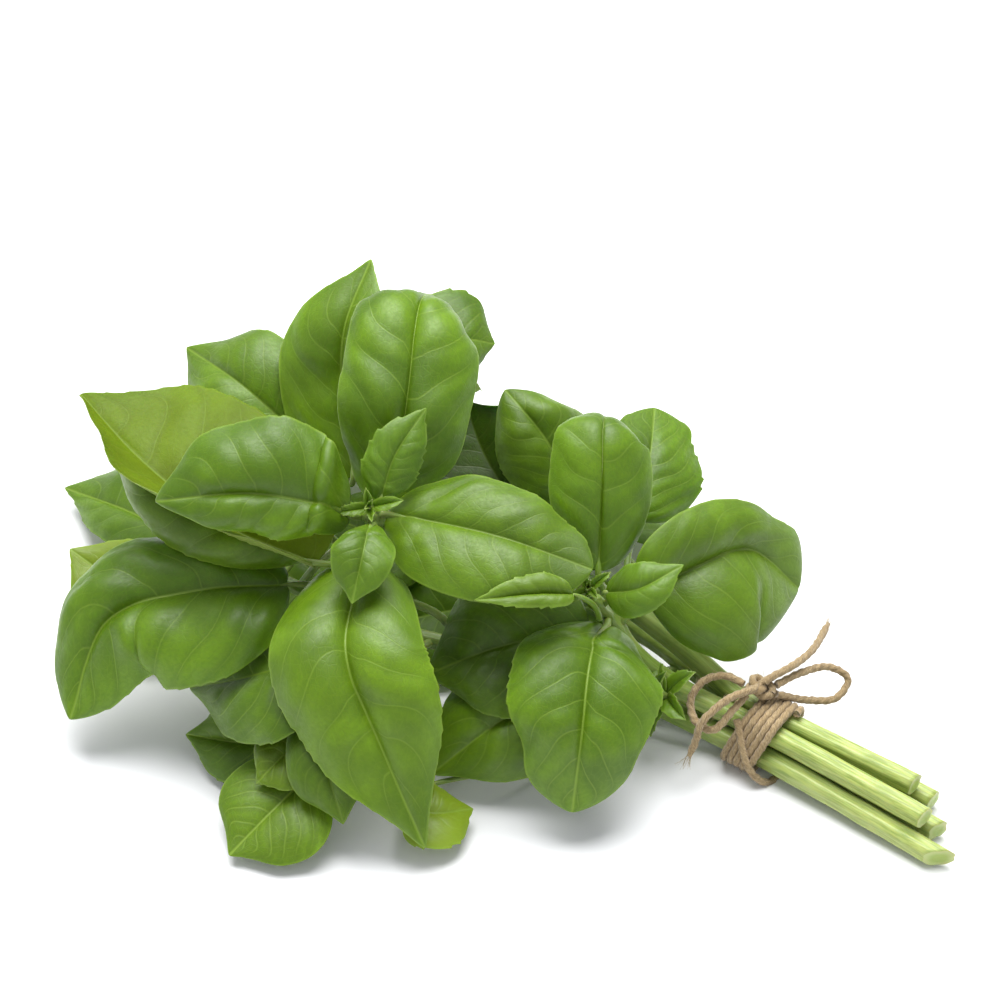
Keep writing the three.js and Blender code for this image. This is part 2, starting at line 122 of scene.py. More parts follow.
# ---------------------------------------------------------------- materials
class Shader:
    """A Principled material, with short ways to add the nodes that feed it."""

    def __init__(self, name, **sockets):
        self.material = bpy.data.materials.new(name)
        self.material.use_nodes = True
        self.tree = self.material.node_tree
        self.surface = self.tree.nodes["Principled BSDF"]
        for socket, value in sockets.items():
            self.surface.inputs[socket.replace("_", " ")].default_value = value

    def feed(self, socket, value):
        if isinstance(value, bpy.types.NodeSocket):
            self.tree.links.new(value, socket)
        elif value is not None:
            socket.default_value = value

    def node(self, kind, out=0, values=(), **properties):
        made = self.tree.nodes.new("ShaderNode" + kind)
        for key, value in properties.items():
            setattr(made, key, value)
        for key, value in dict(values).items():
            self.feed(made.inputs[key], value)
        return made.outputs[out]

    def attribute(self, name):
        return self.node("Attribute", "Vector", attribute_name=name)

    def split(self, vector):
        made = self.tree.nodes.new("ShaderNodeSeparateXYZ")
        self.feed(made.inputs[0], vector)
        return made.outputs

    def math(self, operation, *values):
        return self.node("Math", 0, enumerate(values), operation=operation)

    def fade(self, value, start, end, low=1.0, high=0.0):
        """From low at start to high at end, smoothly."""
        values = {"Value": value, "From Min": start, "From Max": end, "To Min": low, "To Max": high}
        return self.node("MapRange", 0, values, interpolation_type="SMOOTHSTEP")

    def mix(self, factor, a, b, blend="MIX"):
        made = self.tree.nodes.new("ShaderNodeMix")
        made.data_type = "RGBA"
        made.blend_type = blend
        self.feed(made.inputs[0], factor)
        self.feed(made.inputs[6], a)
        self.feed(made.inputs[7], b)
        return made.outputs[2]

    def noise(self, vector, scale, detail=3.0, distortion=0.0):
        values = {"Vector": vector, "Scale": scale, "Detail": detail, "Distortion": distortion}
        return self.node("TexNoise", 0, values)

    def bump(self, height, strength, distance, normal=None):
        values = {"Height": height, "Strength": strength, "Distance": distance, "Normal": normal}
        return self.node("Bump", 0, values)

    def colour(self, value):
        self.feed(self.surface.inputs["Base Color"], value)

    def finish(self, socket, value):
        self.feed(self.surface.inputs[socket], value)


def srgb(red, green, blue):
    def linear(c):
        c /= 255
        return c / 12.92 if c <= 0.04045 else ((c + 0.055) / 1.055) ** 2.4

    return (linear(red), linear(green), linear(blue), 1)


def leaf_material(name, dark, light, vein, yellow, relief, roughness):
    """Leaf skin. It reads each point's place on its blade, in mm, and its place between veins.

    relief is how far the veins stand out: 1 on the under side, and -1 where they are sunk.
    """
    s = Shader(name, Subsurface_Weight=0.2, Subsurface_Scale=0.0014)
    s.surface.inputs["Subsurface Radius"].default_value = (0.6, 1.0, 0.25)
    place = s.attribute("leaf_place")
    across, _, margin = s.split(place)
    phase, spacing, matt = s.split(s.attribute("leaf_veins"))
    tone_and_painted_light, yellowness, line = s.split(s.attribute("leaf_tone"))

    # Lateral veins lie at whole values of phase; the midrib lies at across = 0
    whole = s.math("ABSOLUTE", s.math("SUBTRACT", s.math("FRACT", s.math("ADD", phase, 0.5)), 0.5))
    lateral = s.fade(s.math("MULTIPLY", whole, spacing), 0.06, 0.34)
    lateral = s.math("MULTIPLY", lateral, s.fade(margin, 0.5, 6, 0.1, 1))
    midrib = s.fade(s.math("ABSOLUTE", across), 0.12, 0.55)
    net = s.node("TexVoronoi", "Distance", {"Vector": place, "Scale": 0.42, "Randomness": 0.9},
                 feature="DISTANCE_TO_EDGE")
    net = s.fade(net, 0.0, 0.09)
    grain = s.noise(place, 0.9, 4)
    cloud = s.noise(s.node("TexCoord", "Object"), 55, 3, 0.4)
    veins = s.math("MAXIMUM", s.math("MULTIPLY", lateral, 0.26), s.math("MULTIPLY", midrib, 0.5))

    colour = s.mix(s.fade(cloud, 0.3, 0.7, 0, 1), dark, light)
    colour = s.mix(s.fade(grain, 0.35, 0.7, 0, 0.3), colour, dark)
    # Painted shade in the creases along the lateral veins: a darker band beside each vein, as strong
    # as the leaf's vein lines
    beside = s.fade(s.math("MULTIPLY", whole, spacing), 0.25, 2.2, 0.4, 0)
    colour = s.mix(s.math("MULTIPLY", beside, line), colour, dark)
    colour = s.mix(yellowness, colour, yellow)
    colour = s.mix(s.math("MULTIPLY", s.math("MAXIMUM", veins, s.math("MULTIPLY", net, 0.06)), line),
                   colour, vein)
    # A painted highlight along the margin, where light catches the rim, mixed in from the vein colour
    colour = s.mix(s.fade(margin, 0.15, 0.8, 0.35, 0), colour, vein)
    # Each leaf's brightness is partly its own tone and partly painted light and shade: leaves deep in
    # the bunch are darkened and well-lit ones brightened
    shade = s.node("CombineXYZ", 0, {0: tone_and_painted_light, 1: tone_and_painted_light, 2: tone_and_painted_light})
    s.colour(s.mix(1.0, colour, shade, "MULTIPLY"))
    s.finish("Roughness", s.fade(grain, 0.3, 0.7, roughness - 0.04, roughness + 0.08))
    s.finish("Specular IOR Level", s.fade(matt, 0, 1, 0.36, 0.06))
    height = s.math("MULTIPLY", s.math("MAXIMUM", veins, s.math("MULTIPLY", net, 0.13)), relief)
    height = s.math("ADD", height, s.math("MULTIPLY", grain, 0.32))
    s.finish("Normal", s.bump(height, 0.5, 0.00024))
    return s.material


def stem_material(name, root, tip, cut):
    """Stem skin, streaked lengthwise, pale at the cut end, with rings on the cut itself."""
    s = Shader(name, Subsurface_Weight=0.15, Subsurface_Scale=0.002, Specular_IOR_Level=0.45)
    around, along, inside = s.split(s.attribute("stem_place"))
    streak = s.node("CombineXYZ", 0, {0: around, 1: s.math("MULTIPLY", along, 0.06), 2: 0.0})
    streak = s.noise(streak, 2.2, 4)
    cloud = s.noise(s.node("TexCoord", "Object"), 90, 3)
    dark_streak, pale_patch, pith = srgb(94, 120, 40), srgb(184, 194, 124), srgb(176, 188, 120)
    colour = s.mix(s.fade(along, 15, 110, 0, 1), root, tip)
    colour = s.mix(s.fade(streak, 0.35, 0.7, 0.0, 0.7), colour, dark_streak)
    colour = s.mix(s.fade(cloud, 0.35, 0.7, 0.0, 0.3), colour, pale_patch)
    depth = s.math("ADD", inside, s.math("MULTIPLY", cloud, 0.2))
    face = s.mix(s.fade(depth, 0.25, 0.75, 1, 0), cut, pith)
    s.colour(s.mix(s.fade(inside, 0.0, 0.04, 0, 1), colour, face))
    s.finish("Roughness", s.fade(streak, 0.3, 0.7, 0.32, 0.5))
    s.finish("Normal", s.bump(streak, 0.35, 0.0003))
    return s.material


def twine_material(name):
    """Jute. It reads each point's place round its strand, along it, and how far out on a ply."""
    s = Shader(name, Roughness=0.9, Specular_IOR_Level=0.2, Sheen_Weight=0.25, Sheen_Roughness=0.5)
    around, along, ply = s.split(s.attribute("twine_place"))
    fibre = s.node("CombineXYZ", 0, {0: s.math("MULTIPLY", around, 5.0), 1: along, 2: ply})
    fibre = s.noise(fibre, 1.4, 4, 0.3)
    patch = s.noise(s.node("TexCoord", "Object"), 260, 2)
    dark_fibre, pale_fibre, tan = srgb(112, 92, 60), srgb(190, 168, 130), srgb(152, 128, 90)
    colour = s.mix(s.fade(fibre, 0.3, 0.7, 0, 1), dark_fibre, pale_fibre)
    s.colour(s.mix(s.fade(patch, 0.35, 0.7, 0.0, 0.4), colour, tan))
    s.finish("Normal", s.bump(fibre, 0.8, 0.0002))
    return s.material


# Each leaf material's vein colour also paints the highlight along its margin
LEAF_TOP = leaf_material(
    "leaf_upper_side", dark=srgb(66, 94, 2), light=srgb(92, 124, 8), vein=srgb(124, 150, 50),
    yellow=srgb(142, 152, 20), relief=-1.0, roughness=0.44)
LEAF_UNDER = leaf_material(
    "leaf_under_side", dark=srgb(106, 130, 54), light=srgb(124, 146, 70), vein=srgb(152, 168, 98),
    yellow=srgb(150, 160, 70), relief=1.0, roughness=0.52)
YOUNG_TOP = leaf_material(
    "young_leaf_upper_side", dark=srgb(70, 100, 6), light=srgb(94, 128, 14),
    vein=srgb(124, 152, 54), yellow=srgb(146, 160, 40), relief=-1.0, roughness=0.44)
STEM = stem_material(
    "stem_skin", root=srgb(168, 182, 96), tip=srgb(98, 128, 34), cut=srgb(150, 170, 82))
JUTE = twine_material("jute")


# ---------------------------------------------------------------- numbers on curves and meshes
def unit(v):
    return v / np.maximum(np.linalg.norm(v, axis=-1, keepdims=True), 1e-12)


def smooth_curve(knots, values, at):
    """A smooth curve through values, one at each knot, read at the places in at."""
    knots, values, at = np.asarray(knots, float), np.asarray(values, float), np.asarray(at, float)
    slopes = np.gradient(values, knots, axis=0)
    i = np.clip(np.searchsorted(knots, at) - 1, 0, len(knots) - 2)
    shape = (-1,) + (1,) * (values.ndim - 1)
    span = (knots[i + 1] - knots[i]).reshape(shape)
    t = (at - knots[i]).reshape(shape) / span
    return ((2 * t**3 - 3 * t**2 + 1) * values[i] + (t**3 - 2 * t**2 + t) * span * slopes[i]
            + (3 * t**2 - 2 * t**3) * values[i + 1] + (t**3 - t**2) * span * slopes[i + 1])


def smoothstep(x, start, end):
    t = np.clip((np.asarray(x, float) - start) / (end - start), 0, 1)
    return t * t * (3 - 2 * t)


def even_route(points, step):
    """Points a step apart along a smooth curve through the points given."""
    points = np.asarray(points, float)
    knots = np.append(0, np.cumsum(np.sqrt(np.linalg.norm(np.diff(points, axis=0), axis=1))))
    fine = smooth_curve(knots, points, np.linspace(0, knots[-1], 60 * len(points)))
    run = np.append(0, np.cumsum(np.linalg.norm(np.diff(fine, axis=0), axis=1)))
    at = np.linspace(0, run[-1], max(int(round(run[-1] / step)), 4) + 1)
    return np.stack([np.interp(at, run, fine[:, k]) for k in range(3)], axis=1)


def carried(points, start):
    """Tangent, normal and side at each point of a route, carried along it without twisting."""
    tangents = unit(np.gradient(points, axis=0))
    normals = [unit(start - tangents[0] * np.dot(start, tangents[0]))]
    for tangent in tangents[1:]:
        normals.append(unit(normals[-1] - tangent * np.dot(normals[-1], tangent)))
    normals = np.array(normals)
    return tangents, normals, np.cross(normals, tangents)


def circles(across, up, corners):
    """Directions round each point of a route, from across through up, and their angles."""
    angles = np.linspace(0, 2 * np.pi, corners, endpoint=False)
    turned = angles[None, :, None]
    return np.cos(turned) * across[:, None] + np.sin(turned) * up[:, None], angles


def bumps(points, scale, seed):
    """Smooth noise from -1 to 1 at each point."""
    flat = points.reshape(-1, 3) * scale + seed
    return np.array([noise.noise(Vector(p)) for p in flat]).reshape(points.shape[:-1])


def grid_faces(rows, columns, first, closed=False, flip=False):
    """Quads over a grid of points, whose upper side has columns to the right of rows."""
    r = np.arange(rows - 1)[:, None] * columns
    c = np.arange(columns if closed else columns - 1)
    n = (c + 1) % columns
    quads = np.stack([r + c, r + columns + c, r + columns + n, r + n], axis=-1).reshape(-1, 4)
    return first + (quads[:, ::-1] if flip else quads)


class Piece:
    """A mesh being put together from grids, with its attributes and materials.

    Each attribute is a vector at every point, which the materials read. A face's surface is the
    index of its material.
    """

    def __init__(self, name, slot, materials, attributes):
        self.name, self.slot, self.materials = name, slot, materials
        self.points, self.faces, self.surfaces = [], [], []
        self.attributes = {key: [] for key in attributes}
        self.count = 0

    def add_points(self, points, **attributes):
        points = np.asarray(points, float).reshape(-1, 3)
        first = self.count
        self.points.append(points)
        for key, values in self.attributes.items():
            given = np.asarray(attributes.get(key, np.zeros(3)), float).reshape(-1, 3)
            values.append(np.broadcast_to(given, points.shape))
        self.count += len(points)
        return first

    def add_faces(self, faces, surface=0):
        self.faces.extend(np.asarray(faces).tolist())
        self.surfaces.extend([surface] * len(faces))

    def add_tube(self, rings, surface=0, **attributes):
        """A closed tube through rings of points, with a flat face over each end."""
        count, around = rings.shape[:2]
        first = self.add_points(rings, **attributes)
        self.add_faces(grid_faces(count, around, first, closed=True, flip=True), surface)
        self.add_faces([[first + k for k in range(around)]], surface)
        last = first + (count - 1) * around
        self.add_faces([[last + k for k in reversed(range(around))]], surface)

    def build(self, *nodes):
        mesh = bpy.data.meshes.new(self.name)
        mesh.from_pydata(np.concatenate(self.points).tolist(), [], self.faces)
        for material in self.materials:
            mesh.materials.append(material)
        mesh.polygons.foreach_set("material_index", self.surfaces)
        mesh.polygons.foreach_set("use_smooth", [True] * len(self.faces))
        for key, values in self.attributes.items():
            made = mesh.attributes.new(key, "FLOAT_VECTOR", "POINT")
            made.data.foreach_set("vector", np.concatenate(values).astype(np.float32).ravel())
        mesh.update()
        obj = link(self.name, mesh)
        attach(obj, "root")
        if nodes:
            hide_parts(*nodes)
        return obj


# ---------------------------------------------------------------- reading the CAD lofts back
def cad_rings(node, count):
    """The rings of a CAD loft from root to tip, each from its first column, and the tip."""
    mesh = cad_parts[node].data
    places, key_of, corners = [], {}, []
    for v in mesh.vertices:
        key = tuple(round(c * 1e7) for c in v.co)
        if key not in key_of:
            key_of[key] = len(places)
            places.append(tuple(v.co))
        corners.append(key_of[key])
    mesh.calc_loop_triangles()
    opposite, degree = {}, {}
    for triangle in mesh.loop_triangles:
        a, b, c = (corners[i] for i in triangle.vertices)
        for p, q, r in ((a, b, c), (b, c, a), (c, a, b)):
            opposite[p, q] = r
            degree.setdefault(p, set()).update((q, r))
    tip = next(v for v, others in degree.items() if len(others) == RING)
    following = {q: p for (p, q), r in opposite.items() if r == tip}
    ring = [next(iter(following))]
    while len(ring) < RING:
        ring.append(following[ring[-1]])
    rings = [ring]
    while len(rings) < count:
        below = [opposite[ring[k], ring[(k + 1) % RING]] for k in range(RING)]
        ring = below[-1:] + below[:-1]
        rings.append(ring)
    fans = [opposite[ring[k], ring[(k + 1) % RING]] for k in range(RING)]
    start = max(range(RING), key=lambda k: fans.count(ring[k]))
    ordered = [[places[v] for v in r[start:] + r[:start]] for r in reversed(rings)]
    return np.array(ordered), np.array(places[tip])


# ---------------------------------------------------------------- leaves
THICKNESS = 0.36 * MM
ROWS = 104
# The columns of a blade's grid, as shares of its half width, closer at the midrib and the margin
HALF_COLUMNS = np.array([0, 0.03, 0.08, 0.15, 0.23, 0.31, 0.39, 0.47, 0.55, 0.63, 0.71, 0.79, 0.87,
                         0.94, 0.985, 1])
COLUMNS = np.concatenate([-HALF_COLUMNS[:0:-1], HALF_COLUMNS])
# Where along a blade its lateral veins leave the midrib, with some beyond both ends of it
VEIN_ROOTS = np.array([-0.36, -0.16, 0.03, 0.18, 0.33, 0.48, 0.63, 0.77, 0.89, 1.0, 1.2])
UPPER, UNDER, STALK = 0, 1, 2  # the materials of a leaf
LEAF_DATA = ("leaf_place", "leaf_veins", "leaf_tone", "stem_place")

# Relief of a blade, in mm. The heights, but for those of veins and creases, are for a blade that
# is FULL_LENGTH long, and they scale with it.
FULL_LENGTH = 70
TOOTH_SPACING, TOOTH_HEIGHT = 4.6, 0.75
PUFF_HEIGHT, WAVE_HEIGHT, DOME_HEIGHT = 0.58, 0.75, 1.5
GROOVE_DEPTH, GROOVE_WIDTH = 0.42, 0.9  # along the midrib, on top
RIB_HEIGHT, RIB_WIDTH = 0.75, 0.75  # the midrib, under the blade
VEIN_HEIGHT, VEIN_WIDTH = 0.13, 0.5  # the lateral veins, under the blade
PUCKER_HEIGHT, PUCKERS = 0.95, 62  # and how many to a metre
CREASE_HEIGHT, CREASES = 0.13, 260

PETIOLE_RADIUS, YOUNG_PETIOLE_RADIUS = 1.05, 0.8  # mm
PETIOLE_ENDS = (0.05, 0.13)  # the last two points of a petiole, along the blade that it carries
PETIOLE_DEPTH = 0.6  # mm, of those points under the middle of the blade
STALK_PLACE = 95  # mm along a stem, where it has the colour of a petiole's root


def keep_up(points, height):
    """Lift points that are lower than a height in mm, so that none is in the table."""
    points[..., 2] = np.maximum(points[..., 2], height * MM)


def outline(u):
    """A blade's half width at each place along it, as a share of the widest."""
    return u**0.55 * (1 - u) ** 0.75 / (WIDEST**0.55 * (1 - WIDEST) ** 0.75)


def blade_surface(control, rows, point, base_width):
    """A fine grid over a blade's control points: (base, five columns at each station, tip).

    It gives the place of each row along the blade, the grid, and how far the control columns
    reach from the midrib at each row.
    """
    base, grid, tip = control
    inner = np.array(STATIONS[1:-1])
    turn = 0.5 - 0.5 * np.cos(np.pi * np.linspace(0, 1, rows))
    u = 0.0045 + 0.9935 * (0.45 * turn + 0.55 * np.linspace(0, 1, rows))
    middle = smooth_curve(STATIONS, [base, *grid[:, 2], tip], u)
    reach = (grid - grid[:, 2:3]) / outline(inner)[:, None, None]
    tip_width = 1 - point * smoothstep(u, 0.72, 1.0)
    fine = outline(u) * tip_width * (1 + base_width * np.exp(-u / 0.09))
    reach = smooth_curve(inner, reach, np.clip(u, inner[0], inner[-1])) * fine[:, None, None]
    surface = np.empty((rows, len(COLUMNS), 3))
    for i, v in enumerate(COLUMNS):
        half, edge = (reach[:, 1], reach[:, 0]) if v < 0 else (reach[:, 3], reach[:, 4])
        a = abs(v)
        surface[:, i] = middle + a * (4 * half - edge) + a * a * (2 * edge - 4 * half)
    return u, surface, reach


def cut_teeth(surface, u, length, teeth, seed):
    """Push a grid's margins in and out. Teeth point towards the tip and stop short of the base."""
    a, right = np.abs(COLUMNS), COLUMNS > 0
    count = max(7, length / TOOTH_SPACING)
    height = teeth * TOOTH_HEIGHT * (0.6 + 0.4 * (length / FULL_LENGTH))
    for side, offset, margin, inner in ((~right, 0.0, 0, 2), (right, 0.37, -1, -3)):
        place = u * count + offset + 0.25 * np.sin(u * 23 + seed * 7 + offset * 9)
        rise = (place % 1) ** 1.6
        size = 0.55 + 0.45 * np.sin(np.floor(place) * 12.9 + seed * 3)
        size = size * smoothstep(u, 0.2, 0.4)
        push = height * (rise - 0.5) * size * (1 - smoothstep(u, 0.93, 0.98))
        outward = unit(surface[:, margin] - surface[:, inner])
        weight = smoothstep(a[side], 0.8, 1.0)
        surface[:, side] += (outward * push[:, None] * MM)[:, None] * weight[None, :, None]


def add_sheet(piece, top, bottom, data):
    """The two sides of a blade, and the narrow band that joins them round its margin."""
    rows, columns = top.shape[:2]
    first = piece.add_points(top, **data)
    below = piece.add_points(bottom, **data)
    piece.add_faces(grid_faces(rows, columns, first), UPPER)
    piece.add_faces(grid_faces(rows, columns, below, flip=True), UNDER)
    loop = [r * columns for r in range(rows)]
    loop += [(rows - 1) * columns + c for c in range(1, columns)]
    loop += [r * columns + columns - 1 for r in range(rows - 2, -1, -1)]
    loop += list(range(columns - 2, 0, -1))
    turned = loop[1:] + loop[:1]
    band = [[first + p, below + p, below + q, first + q] for p, q in zip(loop, turned)]
    piece.add_faces(band, UNDER)


def add_blade(piece, control, seed, rows=ROWS, puff=1.0, wave=1.0, teeth=0.8, tone=(1.0, 0.0, 1.0),
              matt=0.0, thick=1.0, point=0.5, dome=1.0, base_width=0.25, ridge=0.0):
    """A leaf blade over its control points, with the looks that are listed above LOOKS.

    Lengths are in mm until they are used. It gives the middle surface, its normals and the place
    of each row along the blade.
    """
    u, surface, reach = blade_surface(control, rows, point, base_width)
    random = np.random.default_rng(int(seed * 1000) % 99991)
    length = np.linalg.norm(np.diff(surface[:, len(COLUMNS) // 2], axis=0), axis=1).sum() / MM
    widths = np.linalg.norm(reach[:, [0, 4]], axis=2) / MM
    a = np.abs(COLUMNS)
    right = COLUMNS > 0
    half_width = np.where(right[None, :], widths[:, 1:], widths[:, :1])
    scale = length / FULL_LENGTH
    cut_teeth(surface, u, length, teeth, seed)

    # The coordinate that counts lateral veins: they curve towards the tip on their way out
    slant = np.clip(np.median(half_width) / length / 0.26, 0.5, 1.4)
    side_shift = np.where(right, 0.028, -0.012) * smoothstep(a, 0, 0.15)
    sway = 0.014 * np.sin(u[:, None] * 17 + seed * 5 + a * 3)
    q = u[:, None] - slant * (0.19 * a + 0.15 * a**2.6) - side_shift + sway * smoothstep(a, 0, 0.3)
    roots = VEIN_ROOTS + random.uniform(-0.012, 0.012, len(VEIN_ROOTS))
    order = np.arange(len(roots))
    phase = np.interp(q, roots, order)
    spacing = np.interp(q, (roots[1:] + roots[:-1]) / 2, np.diff(roots)) * length * 0.8

    # How far each point is lifted off the smooth surface
    heights = random.uniform(0.3, 1.3, (2, len(roots) + 1))
    cell = np.floor(phase).astype(int)
    each = np.where(right[None, :], heights[1][cell], heights[0][cell])
    crown = np.sin(np.pi * (phase % 1)) ** 0.9
    envelope = smoothstep(a, 0.0, 0.22) * (1 - 0.75 * smoothstep(a, 0.72, 1.0))
    ends = smoothstep(u, 0.02, 0.12) * (1 - smoothstep(u, 0.8, 0.97))
    distance = a[None, :] * half_width
    calm = (1 - smoothstep(u, 0.62, 0.9))[:, None]
    puff = puff * (0.3 + 0.7 * calm)
    lift = PUFF_HEIGHT * puff * scale * crown * each * envelope[None, :] * ends[:, None]
    groove = np.exp(-((distance / GROOVE_WIDTH) ** 2))
    lift -= GROOVE_DEPTH * scale * groove * (0.4 + 0.6 * calm)
    swell = np.sin(np.pi * a[None, :] ** 0.85)
    lift += dome * DOME_HEIGHT * scale * swell * calm * np.sin(np.pi * u[:, None]) ** 0.6
    lift += ridge * np.exp(-((a / 0.4) ** 2))[None, :] * np.sin(np.pi * u)[:, None]
    ripple = np.sin(2 * np.pi * (u * (2.1 + 0.6 * np.sin(seed)) + seed))
    ripple_left = np.sin(2 * np.pi * (u * (2.4 + 0.5 * np.cos(seed * 2)) + seed * 1.7))
    edge_wave = np.where(right[None, :], ripple[:, None], ripple_left[:, None]) * (a**2.2)[None, :]
    lift += WAVE_HEIGHT * wave * scale * edge_wave * ends[:, None]
    pucker = bumps(surface, PUCKERS, seed)
    lift += PUCKER_HEIGHT * puff * scale * pucker * smoothstep(distance, 0, 2.5)
    crease = bumps(surface, CREASES, seed)
    lift += CREASE_HEIGHT * puff * crease * smoothstep(distance, 0, 2) * ends[:, None]

    def normals():
        return unit(np.cross(np.gradient(surface, axis=0), np.gradient(surface, axis=1)))

    surface = surface + normals() * (lift * MM)[..., None]
    keep_up(surface, 0.25)

    # Both sides, with the midrib and the veins standing out under the blade
    normal = normals()
    half = thick * THICKNESS / 2 * (1 - 0.55 * a[None, :] ** 3)[..., None]
    rib = RIB_HEIGHT * thick * scale * (1 - 0.8 * u[:, None])
    rib = rib * np.exp(-((distance / RIB_WIDTH) ** 2))
    beside = np.abs((phase + 0.5) % 1 - 0.5) * spacing
    vein = VEIN_HEIGHT * thick * np.exp(-((beside / VEIN_WIDTH) ** 2))
    rib = rib + vein * smoothstep(distance, 0.4, 1.5) * (1 - a**2)
    top = surface + normal * half
    bottom = surface - normal * (half + (rib * MM)[..., None])
    keep_up(bottom, 0.05)
    margin = half_width * (1 - a[None, :]) + 4 * smoothstep(0.05 - u, 0, 0.05)[:, None]
    signed = distance * np.where(right, 1, -1)[None, :]
    along = np.broadcast_to(u[:, None] * length, signed.shape)
    data = {
        "leaf_place": np.stack([signed, along + 17 * seed, margin], axis=-1),
        "leaf_veins": np.stack([phase, spacing, np.full_like(phase, matt)], axis=-1),
        "leaf_tone": np.broadcast_to(np.asarray(tone, float), signed.shape + (3,)),
    }
    add_sheet(piece, top, bottom, data)
    return surface, normal, u


def add_petiole(piece, rings, ends, radius, steps=22):
    """A leaf stalk along the CAD petiole, from inside the stem to its ends under the blade."""
    centres = rings.mean(axis=1)
    root = centres[0] - unit(centres[1] - centres[0]) * 1.3 * MM
    points = np.concatenate([[root], centres, ends])
    route = even_route(points, np.linalg.norm(points[-1] - points[0]) / steps)
    _, normals, sides = carried(route, rings[0][2] - rings[0][6])
    t = np.linspace(0, 1, len(route))
    size = radius * MM * (1.12 - 0.25 * smoothstep(t, 0, 0.6) - 0.62 * smoothstep(t, 0.72, 1.0))
    out, angles = circles(-sides, normals, 14)
    channel = 1 - 0.16 * np.exp(-(((angles - np.pi / 2) / 0.5) ** 2))
    tube = route[:, None] + out * (size[:, None] * channel[None, :])[..., None]
    keep_up(tube, 0.05)
    around, along = angles[None, :] * radius, STALK_PLACE + 20 * t[:, None]
    place = np.stack(np.broadcast_arrays(around, along, 0.0), axis=-1)
    piece.add_tube(tube, STALK, stem_place=place)


# How each leaf differs from a plain one, which has the defaults of add_blade:
#   puff, wave, teeth  how strong its puckers, the waves of its margin and its teeth are
#   tone               its brightness, partly its own tone and partly painted light and shade, its yellowness, and how strong its vein lines and the painted shade beside them are
#   matt               0 for a leaf with some shine and 1 for one with hardly any
#   point              how much narrower than the outline its tip is, and wider if negative
#   base_width         how much wider than the outline its base is
#   dome               how far each half swells between midrib and margin
#   ridge              how far its middle stands up, in mm
#   stalk              how many rings of the CAD petiole stay petiole; its blade takes the rest
LOOKS = {
    "leaf_a1": {"puff": 1.4, "tone": (1.12, 0.0, 0.8), "point": 0.2, "base_width": 0.8, "stalk": 2},
    "leaf_a2": {"puff": 1.2, "tone": (0.95, 0.02, 0.8), "point": -0.4, "base_width": 0.6, "stalk": 2},
    "leaf_a3": {"puff": 0.9, "teeth": 1.5, "tone": (0.9, 0.0, 0.8), "stalk": 3},
    "leaf_a4": {"puff": 0.9, "teeth": 1.4, "tone": (0.95, 0.02, 0.8), "stalk": 3},
    "leaf_a5": {"puff": 1.1, "tone": (1.12, 0.0, 1.0), "base_width": 0.6, "stalk": 2, "ridge": 1.2},
    "leaf_a6": {"puff": 0.8, "wave": 0.8, "tone": (1.2, 0.03, 0.9), "base_width": 0.5},
    "leaf_b1": {"puff": 0.8, "wave": 0.5, "tone": (1.08, 0.0, 0.8), "point": 0.0, "dome": 0.2,
                "ridge": 2.2},
    "leaf_b2": {"puff": 1.3, "wave": 1.8, "teeth": 1.5, "tone": (0.98, 0.0, 1.0), "point": -0.5},
    "leaf_b3": {"puff": 0.9, "wave": 0.0, "tone": (1.0, 0.04, 0.9), "point": -1.3},
    "leaf_b4": {"puff": 1.3, "teeth": 1.4, "tone": (1.15, 0.0, 1.2), "point": -0.5,
                "base_width": 0.5, "stalk": 2},
    "leaf_b5": {"puff": 0.7, "teeth": 1.4, "tone": (0.95, 0.03, 0.8)},
    "leaf_b6": {"puff": 0.7, "teeth": 1.2, "tone": (1.0, 0.1, 0.8)},
    "leaf_c1": {"puff": 1.2, "tone": (0.85, 0.0, 0.9), "base_width": 0.9},
    "leaf_c2": {"puff": 1.1, "tone": (1.0, 0.02, 0.9)},
    "leaf_c3": {"puff": 1.8, "teeth": 1.3, "tone": (1.08, 0.0, 1.0), "point": -0.2},
    "leaf_c8": {"puff": 0.9, "tone": (1.02, 0.05, 0.9)},
    "leaf_d1": {"puff": 0.9, "tone": (1.2, 0.04, 0.9)},
    "leaf_d2": {"puff": 0.9, "wave": 1.3, "tone": (0.98, 0.02, 0.8)},
    "leaf_d3": {"puff": 0.9, "tone": (0.75, 0.25, 1.2), "dome": 0.4, "matt": 0.7},
    "leaf_d4": {"puff": 0.9, "teeth": 1.6, "tone": (0.85, 0.0, 0.8)},
    "leaf_d5": {"tone": (0.45, 0.0, 0.6)},
    "leaf_d6": {"puff": 0.7, "tone": (1.0, 0.03, 0.8), "point": 0.0},
    "leaf_d7": {"puff": 1.0, "tone": (0.9, 0.0, 1.0)},
    "leaf_d8": {"puff": 0.8, "tone": (1.1, 0.35, 1.0)},
    "leaf_e2": {"puff": 0.7, "teeth": 1.2, "tone": (1.12, 0.05, 1.3)},
    "leaf_e3": {"puff": 0.8, "teeth": 1.3, "tone": (1.05, 0.1, 1.0)},
    "leaf_e4": {"puff": 0.8, "tone": (0.85, 0.0, 0.7)},
    "leaf_e5": {"puff": 0.6, "teeth": 1.5, "tone": (1.15, 0.4, 1.0)},
}
YOUNG_LEAVES = ("leaf_a3", "leaf_a4", "leaf_b5", "leaf_b6", "leaf_e5")


def seed_of(name):
    """A number from 0 to 10 that is always the same for a name."""
    return sum(ord(c) * (i + 3) for i, c in enumerate(name)) % 89 / 8.9


